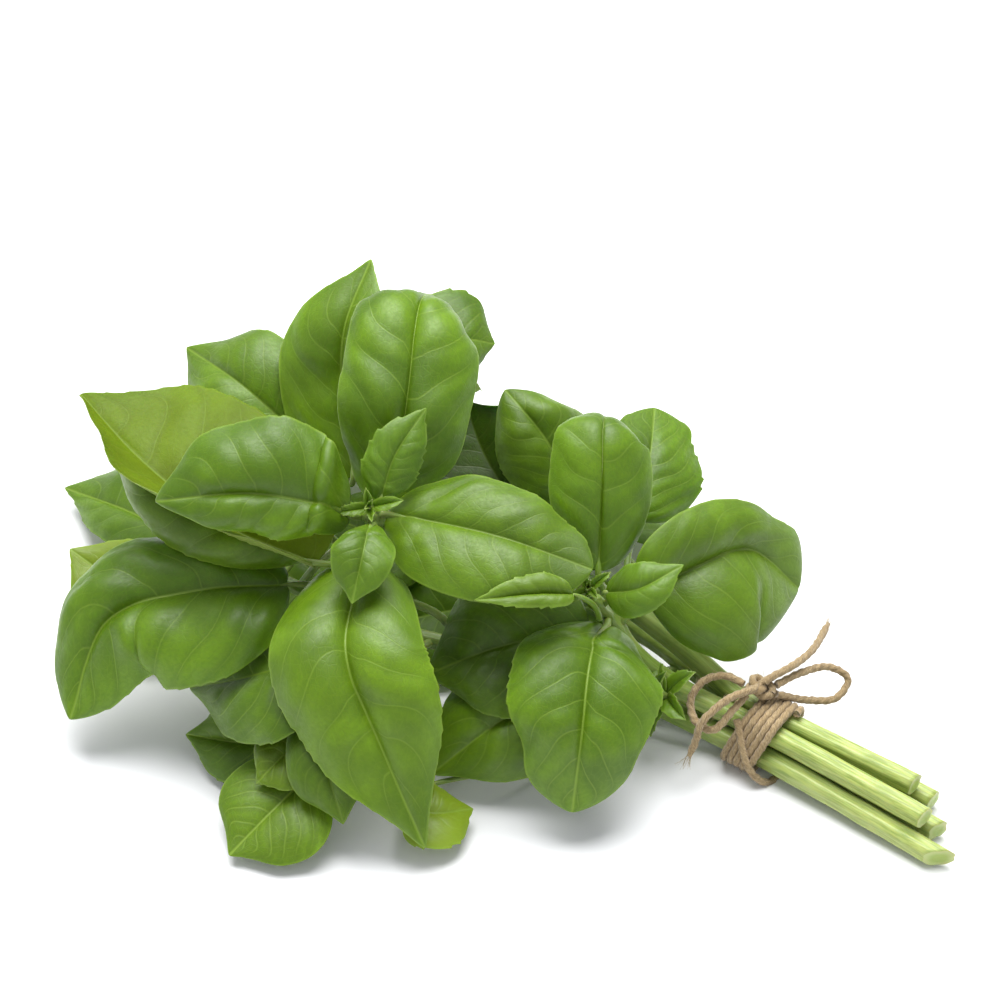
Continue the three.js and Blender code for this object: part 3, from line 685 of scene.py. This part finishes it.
def make_leaf(node):
    """One leaf over its CAD loft, whose rings start at the left margin and pass over the top."""
    rings, tip = cad_rings(node, PETIOLE_RINGS + BLADE_RINGS)
    petiole, blade = rings[:PETIOLE_RINGS], rings[PETIOLE_RINGS:]
    columns = [blade[:, 0], (blade[:, 1] + blade[:, 7]) / 2, (blade[:, 2] + blade[:, 6]) / 2,
               (blade[:, 3] + blade[:, 5]) / 2, blade[:, 4]]
    young = node in YOUNG_LEAVES
    look = dict(LOOKS.get(node, {}))
    petiole = petiole[:look.pop("stalk", PETIOLE_RINGS)]
    control = (petiole[-1].mean(axis=0), np.stack(columns, axis=1), tip)
    top = YOUNG_TOP if young else LEAF_TOP
    slot = "young_leaf" if young else "leaf"
    piece = Piece(f"{node}_skin", slot, [top, LEAF_UNDER, STEM], LEAF_DATA)
    surface, normal, u = add_blade(piece, control, seed=seed_of(node), **look)
    rows = [int(np.searchsorted(u, place)) for place in PETIOLE_ENDS]
    middle = len(COLUMNS) // 2
    ends = [surface[r, middle] - normal[r, middle] * PETIOLE_DEPTH * MM for r in rows]
    add_petiole(piece, petiole, np.array(ends), YOUNG_PETIOLE_RADIUS if young else PETIOLE_RADIUS)
    piece.build(node)


# ---------------------------------------------------------------- growing tips
# The length of each tip's stalk in mm, and its leaves: angle round the tip and tilt from its axis
# in degrees, length and width in mm, curl in radians and fold along the midrib in degrees
BUDS = {
    "bud_a": (1.5, [(0, 62, 8.5, 4.4, 0.5, 30), (180, 62, 8.5, 4.2, 0.5, 30),
                    (90, 35, 5.5, 3, 0.3, 40), (270, 35, 5.5, 3, 0.3, 40),
                    (40, 12, 4, 2, 0.1, 50), (220, 12, 4, 2, 0.1, 50)]),
    "bud_b": (1.5, [(20, 55, 7, 3.6, 0.4, 35), (200, 55, 7, 3.4, 0.4, 35),
                    (110, 32, 5.5, 2.8, 0.3, 40), (290, 32, 5.5, 2.8, 0.3, 40),
                    (60, 10, 4, 2, 0.1, 50), (240, 10, 4, 2, 0.1, 50)]),
    "side_shoot": (3.5, [(0, 70, 11, 6.5, 0.9, 25), (75, 55, 10, 6, 1.1, 30),
                         (150, 62, 10.5, 6, 0.8, 20), (225, 58, 9.5, 6, 1.0, 30),
                         (295, 66, 11, 6.5, 0.9, 25), (35, 30, 8, 4.5, 0.7, 40),
                         (160, 28, 7.5, 4.5, 0.7, 40), (270, 26, 7.5, 4, 0.6, 40)]),
}
BUD_RINGS = 5
BUD_STALK_RADIUS = 1.1  # mm
BUD_STALK_PLACE = 90  # mm along a stem, where it has the colour of this stalk


def tiny_leaf(piece, base, out, facing, length, width, curl, fold, seed):
    """A young leaf a few mm long, growing from base towards out and curling away from facing."""
    base, out = np.asarray(base, float), unit(np.asarray(out, float))
    facing = unit(np.asarray(facing, float) - out * np.dot(facing, out))
    side = np.cross(facing, out)
    stations = np.array(STATIONS)
    bend = curl * stations
    lift = np.cumsum(np.append(0, np.diff(stations) * np.sin(bend[1:]))) * length
    run = np.cumsum(np.append(0, np.diff(stations) * np.cos(bend[1:]))) * length
    line = base + out * run[:, None] + facing * -lift[:, None]
    normal = facing * np.cos(bend)[:, None] + out * np.sin(bend)[:, None]
    half = outline(stations[1:-1]) * width / 2
    slopes = np.radians(fold)
    grid = np.stack([
        line[1:-1] + side * (v * math.cos(slopes) * half)[:, None]
        + normal[1:-1] * (abs(v) * math.sin(slopes) * half)[:, None]
        for v in (-1, -0.5, 0, 0.5, 1)
    ], axis=1)
    add_blade(piece, (line[0], grid, line[-1]), seed, rows=34, puff=1.6, wave=1.5, teeth=1.6,
              tone=(1.0, 0.06, 0.8), thick=0.8)


def make_bud(node, stalk_length, leaves):
    """Unopened leaves around a growing tip, on a short stalk."""
    rings, tip = cad_rings(node, BUD_RINGS)
    root = rings[0].mean(axis=0)
    axis = unit(tip - root)
    across = unit(rings[0][4] - rings[0][0])
    other = np.cross(axis, across)
    piece = Piece(f"{node}_leaves", "young_leaf", [YOUNG_TOP, LEAF_UNDER, STEM], LEAF_DATA)
    for i, (angle, tilt, length, width, curl, fold) in enumerate(leaves):
        turn, lean = math.radians(angle), math.radians(tilt)
        outward = across * math.cos(turn) + other * math.sin(turn)
        out = outward * math.sin(lean) + axis * math.cos(lean)
        facing = axis * math.sin(lean) - outward * math.cos(lean)
        start = root + axis * (0.35 * i / len(leaves)) * np.linalg.norm(tip - root)
        tiny_leaf(piece, start + outward * 0.5 * MM, out, facing, length * MM, width * MM, curl,
                  fold, seed_of(node) + i)
    ends = [root - axis * 3 * MM, root, root + axis * stalk_length * MM]
    stalk = even_route(ends, 0.5 * MM)
    _, normals, sides = carried(stalk, across)
    out, _ = circles(-sides, normals, 12)
    place = np.array([0, BUD_STALK_PLACE, 0])
    piece.add_tube(stalk[:, None] + out * BUD_STALK_RADIUS * MM, STALK, stem_place=place)
    piece.build(node)


# ---------------------------------------------------------------- stems
STEM_STEPS, STEM_CORNERS = 150, 40
JOINT_SWELLING, JOINT_LENGTH = 0.1, 3.2 * MM
JOINT_REACH = 5.5 * MM  # a petiole that starts no further from a stem than this grows from it
CUT_ROUGHNESS, CUT_FADE = 0.12 * MM, 18 * MM  # and how far along the stem the cut shifts its rings
CUT_HOLLOW = 0.15  # mm
CUT_RINGS = (0.93, 0.75, 0.5, 0.25)  # over the cut end, as shares of the stem's size


def make_stem(node, joints):
    """A square stem with rounded corners and swollen joints, cut on a slant at its root."""
    rings, tip = cad_rings(node, STEM_RINGS)
    centres = rings.mean(axis=1)

    # The slant of the CAD stem's cut. The route starts level with the cut's furthest point.
    tangent = unit(centres[1] - centres[0])
    ends = (rings[0][[0, 4]] - rings[0].min(axis=0)) @ tangent
    width = np.linalg.norm(rings[1][4] - rings[1][0])
    slant = (ends[1] - ends[0]) / width
    centres[0] -= tangent * np.ptp(rings[0] @ tangent) / 2

    knots = np.append(0, np.cumsum(np.linalg.norm(np.diff(centres, axis=0), axis=1)))
    radii = np.linalg.norm(rings - rings.mean(axis=1)[:, None], axis=2).mean(axis=1)
    radii[0] = radii[1]
    length = knots[-1]
    along = np.linspace(0, length, STEM_STEPS)
    route = smooth_curve(knots, centres, along)
    sides = smooth_curve(knots, rings[:, 4] - rings[:, 0], along)
    tangents = unit(np.gradient(route, axis=0))
    sides = unit(sides - tangents * (sides * tangents).sum(axis=1)[:, None])
    normals = np.cross(tangents, sides)
    radius = smooth_curve(knots, radii, along)
    for joint in joints:
        where = along[np.argmin(np.linalg.norm(route - joint, axis=1))]
        radius = radius * (1 + JOINT_SWELLING * np.exp(-(((along - where) / JOINT_LENGTH) ** 2)))
    angles = np.linspace(0, 2 * np.pi, STEM_CORNERS, endpoint=False)
    profile = 1 - 0.065 * np.cos(4 * angles) - 0.03 * np.cos(8 * angles)
    wander = 1 + 0.05 * bumps(route, 120, seed_of(node))
    size = (radius * wander)[:, None] * profile
    across = -np.cos(angles) * size
    out = across[..., None] * sides[:, None] + (np.sin(angles) * size)[..., None] * normals[:, None]
    shift = slant * (across + radius[:, None])
    shift = shift + CUT_ROUGHNESS * np.sin(3 * angles + seed_of(node))
    shift = shift * (1 - smoothstep(along, 0, CUT_FADE))[:, None]
    tube = route[:, None] + out + tangents[:, None] * shift[..., None]
    keep_up(tube, 0.1)
    around = angles[None, :] * radius[:, None] / MM
    place = np.stack(np.broadcast_arrays(around, along[:, None] / MM, 0.0), axis=-1)
    piece = Piece(f"{node}_skin", "stem", [STEM], ("stem_place",))
    first = piece.add_points(tube, stem_place=place)
    piece.add_faces(grid_faces(STEM_STEPS, STEM_CORNERS, first, closed=True, flip=True))

    # Rings over the cut end, and a fan over the tip
    corner_pairs = [(k, (k + 1) % STEM_CORNERS) for k in range(STEM_CORNERS)]
    middle = tube[0].mean(axis=0)
    before = first
    for share in CUT_RINGS:
        sunk = tangents[0] * CUT_HOLLOW * MM * math.sin(math.pi * share)
        ring = middle + (tube[0] - middle) * share - sunk
        made = piece.add_points(ring, stem_place=np.array([0, 0, 1 - share + 0.05]))
        piece.add_faces([[before + k, made + k, made + n, before + n] for k, n in corner_pairs])
        before = made
    centre = piece.add_points(middle, stem_place=np.array([0, 0, 1.0]))
    piece.add_faces([[before + k, centre, before + n] for k, n in corner_pairs])
    last = first + (STEM_STEPS - 1) * STEM_CORNERS
    end = piece.add_points(tip, stem_place=np.array([0, length / MM, 0]))
    piece.add_faces([[last + k, last + n, end] for k, n in corner_pairs])
    piece.build(node)


def make_stems(leaves):
    """Every stem, swollen where the petioles of its leaves join it."""
    roots = [cad_rings(n, PETIOLE_RINGS + BLADE_RINGS)[0][0].mean(axis=0) for n in leaves]
    for stem in sorted(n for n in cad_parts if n.startswith("stem_")):
        line = cad_rings(stem, STEM_RINGS)[0].mean(axis=1)
        knots = np.arange(len(line))
        fine = smooth_curve(knots, line, np.linspace(0, knots[-1], 400))
        near = [r for r in roots if np.linalg.norm(fine - r, axis=1).min() < JOINT_REACH]
        make_stem(stem, near)


# ---------------------------------------------------------------- twine
TWINE = 2.0 * MM
PLIES, PLY_TWIST = 3, 7.5 * MM  # and the length of one full twist
BRUSH = 26  # fibres that stand out of a cut end


def add_strand(piece, route, start=(0, 0, 1), taper=0.0):
    """Twine along a route, its plies twisted round each other, thinner over a taper at its end."""
    _, normals, sides = carried(route, np.asarray(start, float))
    run = np.append(0, np.cumsum(np.linalg.norm(np.diff(route, axis=0), axis=1)))
    out, angles = circles(normals, sides, 24)
    twist = 2 * np.pi * run / PLY_TWIST
    lobes = np.abs(np.cos(PLIES / 2 * (angles[None, :] - twist[:, None])))
    uneven = 1 + 0.1 * bumps(route, 700, 3.3)[:, None]
    hairy = 1 + 0.05 * np.sin(9 * angles[None, :] + 2100 * run[:, None])
    size = TWINE / 2 * (0.74 + 0.3 * lobes**0.8) * uneven * hairy
    if taper:
        size = size * (1 - 0.35 * smoothstep(run, run[-1] - taper, run[-1]))[:, None]
    around, along = angles[None, :] - twist[:, None], run[:, None] / MM
    place = np.stack(np.broadcast_arrays(around, along, lobes), axis=-1)
    tube = route[:, None] + out * size[..., None]
    keep_up(tube, 0.05)
    piece.add_tube(tube, twine_place=place)


def add_fibres(piece, route, count, seed, end=False):
    """Loose jute fibres that stand off a strand, and a brush of them at a cut end."""
    random = np.random.default_rng(seed)
    tangents, normals, sides = carried(route, np.array([0.0, 0, 1]))
    for n in range(count + (BRUSH if end else 0)):
        brush = n >= count
        i = len(route) - 1 if brush else random.integers(1, len(route) - 1)
        turn = random.uniform(0, 2 * np.pi)
        radial = normals[i] * math.cos(turn) + sides[i] * math.sin(turn)
        forward = tangents[i] * (1 if brush else random.choice([-1, 1]))
        reach = random.uniform(1.6, 4.2) * MM if brush else random.uniform(1.0, 2.9) * MM
        spread = random.uniform(0.05, 0.4) if brush else random.uniform(0.25, 0.8)
        at = route[i] + radial * (0.5 * MM if brush else 0.85 * MM)
        way = unit(forward + radial * spread)
        bend = unit(random.normal(size=3))
        steps = np.linspace(0, 1, 5)[:, None]
        line = at + way * reach * steps + bend * (0.3 * reach) * steps**2
        keep_up(line, 0.1)
        thin = random.uniform(0.035, 0.07) * MM * (1 - 0.6 * steps[:, 0])
        _, up, across = carried(line, bend + 0.01)
        out, _ = circles(up, across, 3)
        place = np.array([n * 0.7, 3.0, 1.0])
        piece.add_tube(line[:, None] + out * thin[:, None, None], twine_place=place)


# Routes of the bow from TIE, in metres: two loops and two loose ends
BOW = {
    "loop_right": [(-0.0003, 0.0045, 0.0205), (0.0021, 0.0122, 0.02), (0.0059, 0.0208, 0.0175),
                   (0.0103, 0.023, 0.014), (0.0103, 0.0175, 0.0115), (0.0056, 0.0113, 0.013),
                   (0.0005, 0.0034, 0.0186)],
    "loop_left": [(-0.0071, -0.0001, 0.0206), (-0.0122, -0.0007, 0.021), (-0.0162, -0.0042, 0.02),
                  (-0.0168, -0.0096, 0.0175), (-0.0118, -0.0147, 0.016), (-0.0068, -0.0145, 0.016),
                  (-0.0053, -0.0078, 0.0186), (-0.0051, -0.0021, 0.0194)],
    "end_right": [(-0.0026, 0.0026, 0.0218), (-0.0019, 0.004, 0.0225), (0.0008, 0.0101, 0.0235),
                  (0.0011, 0.0194, 0.022), (-0.0017, 0.0318, 0.02)],
    "end_left": [(-0.0038, 0.0026, 0.0196), (-0.004, -0.0016, 0.0215), (-0.0063, -0.007, 0.022),
                 (-0.0079, -0.0118, 0.021), (-0.0092, -0.0167, 0.0185), (-0.0093, -0.0184, 0.014),
                 (-0.0097, -0.0208, 0.01)],
}
KNOT = np.array([-3.9, 2.6, 19.2]) * MM  # its middle, from TIE
TIE_TURNS, TIE_WIDTH, TIE_SKEW = 5, 11.6 * MM, 0.32
TIE_POINTS = 12  # in each turn
TIE_MIDDLE = 8.2 * MM  # height of the middle of the stems in the tie

# The stems in the tie, as (y, z) from TIE, and the gap that the CAD leaves around them
STEM_RADIUS, CLEARANCE = 2.8 * MM, 0.35 * MM
STEM_CENTRES = np.array([(3, 11.1), (-3, 11.1), (-6, 5.3), (6, 5.3), (0, 5.3)]) * MM


def winding(turns, width, skew, start, extra=0.0):
    """A route that winds round the outside of the stems, a little off square to them."""
    count = int(turns * TIE_POINTS) + 1
    off = STEM_RADIUS * 1.06 + TWINE / 2 + 1.5 * CLEARANCE + extra
    points = []
    for i in range(count):
        angle = 2 * math.pi * i / TIE_POINTS + start
        out = np.array([math.cos(angle), math.sin(angle)])
        y, z = STEM_CENTRES[np.argmax(STEM_CENTRES @ out)] + out * off
        along = (i / (count - 1) - 0.5) * (width - TWINE)
        points.append([along + skew * (z - TIE_MIDDLE), y, z])
    return TIE + np.array(points)


def make_twine():
    """The turns of the tie, the knot, the bow's loops and ends as cords, and their loose fibres."""
    fuzz = Piece("twine_fuzz", "twine", [JUTE], ("twine_place",))
    turns = Piece("tie_strands", "twine", [JUTE], ("twine_place",))
    route = even_route(winding(TIE_TURNS, TIE_WIDTH, TIE_SKEW, math.pi / 2), 0.5 * MM)
    add_strand(turns, route)
    add_fibres(fuzz, route, 260, 5)

    # One strand crosses the turns on a slant
    crossing = winding(turns=0.46, width=2 * MM, skew=-0.75, start=0.75 * math.pi, extra=1.25 * MM)
    crossing = even_route(crossing + np.array([0.8, 0, 0]) * MM, 0.5 * MM)
    add_strand(turns, crossing)
    add_fibres(fuzz, crossing, 30, 6)
    turns.build("tie_turns")

    # The knot is a trefoil pulled tight
    knot = Piece("knot_strands", "twine", [JUTE], ("twine_place",))
    t = np.linspace(0, 2 * np.pi, 90)
    lobe = 2 + np.cos(3 * t)
    trefoil = [lobe * np.cos(2 * t) * 1.15, lobe * np.sin(2 * t) * 0.95, np.sin(3 * t) * 0.95]
    loop = TIE + KNOT + np.stack(trefoil, axis=1) * MM
    add_strand(knot, even_route(loop, 0.45 * MM), start=(0.2, 0.1, 1))
    add_fibres(fuzz, loop, 40, 7)
    knot.build("knot")

    for i, (name, points) in enumerate(BOW.items()):
        piece = Piece(f"cord_{name}", "twine", [JUTE], ("twine_place",))
        route = even_route(TIE + np.array(points), 0.4 * MM)
        loose = name.startswith("end")
        add_strand(piece, route, taper=3 * MM if loose else 0.0)
        add_fibres(fuzz, route, 45, 11 + i, end=loose)
        cord = piece.build(f"twine_{name}")
    fuzz.build()


# ---------------------------------------------------------------- floor
def make_floor(extent=6.0):
    """A white table, much wider than the view."""
    corners = [(-extent, -extent, 0), (extent, -extent, 0), (extent, extent, 0), (-extent, extent, 0)]
    mesh = bpy.data.meshes.new("floor")
    mesh.from_pydata(corners, [], [(0, 1, 2, 3)])
    paper = Shader("white_table", Roughness=0.75, Specular_IOR_Level=0.15)
    grain = paper.noise(paper.node("TexCoord", "Object"), 9, 4)
    paper.colour(paper.mix(grain, srgb(240, 241, 243), srgb(244, 244, 245)))
    mesh.materials.append(paper.material)
    link("floor", mesh)


# ---------------------------------------------------------------- the bunch
make_twine()
leaves = sorted(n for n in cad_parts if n.startswith("leaf_"))
for leaf in leaves:
    make_leaf(leaf)
make_stems(leaves)
for bud, (stalk_length, young_leaves) in BUDS.items():
    make_bud(bud, stalk_length, young_leaves)
make_floor()
